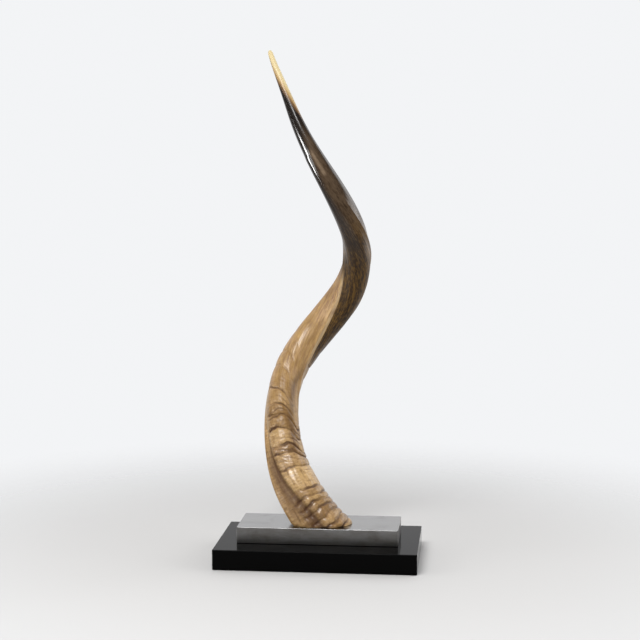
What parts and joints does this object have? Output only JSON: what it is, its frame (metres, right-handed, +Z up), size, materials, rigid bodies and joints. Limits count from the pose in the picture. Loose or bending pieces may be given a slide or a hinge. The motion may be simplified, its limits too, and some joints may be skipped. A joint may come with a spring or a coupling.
{
  "type": "mounted kudu horn",
  "caption": "Spiral kudu horn with growth rings near its foot and a pale tip, cut flat and standing on a metal block on a black base.",
  "frame": {"origin": "centre of the black base's underside", "axes": "+Z up; +X to the right and +Y to the back, seen from the front"},
  "size_m": [0.25, 0.1918, 0.6328],
  "materials": {
    "horn": "polished natural horn, tan and ringed at the foot, dark brown to black above, cream at the tip",
    "metal": "polished nickel-coloured metal, slightly smudged",
    "black_gloss": "black gloss lacquer"
  },
  "bodies": {
    "root": {"horn": "horn", "metal_block": "metal", "black_base": "black_gloss"}
  },
  "joints": []
}
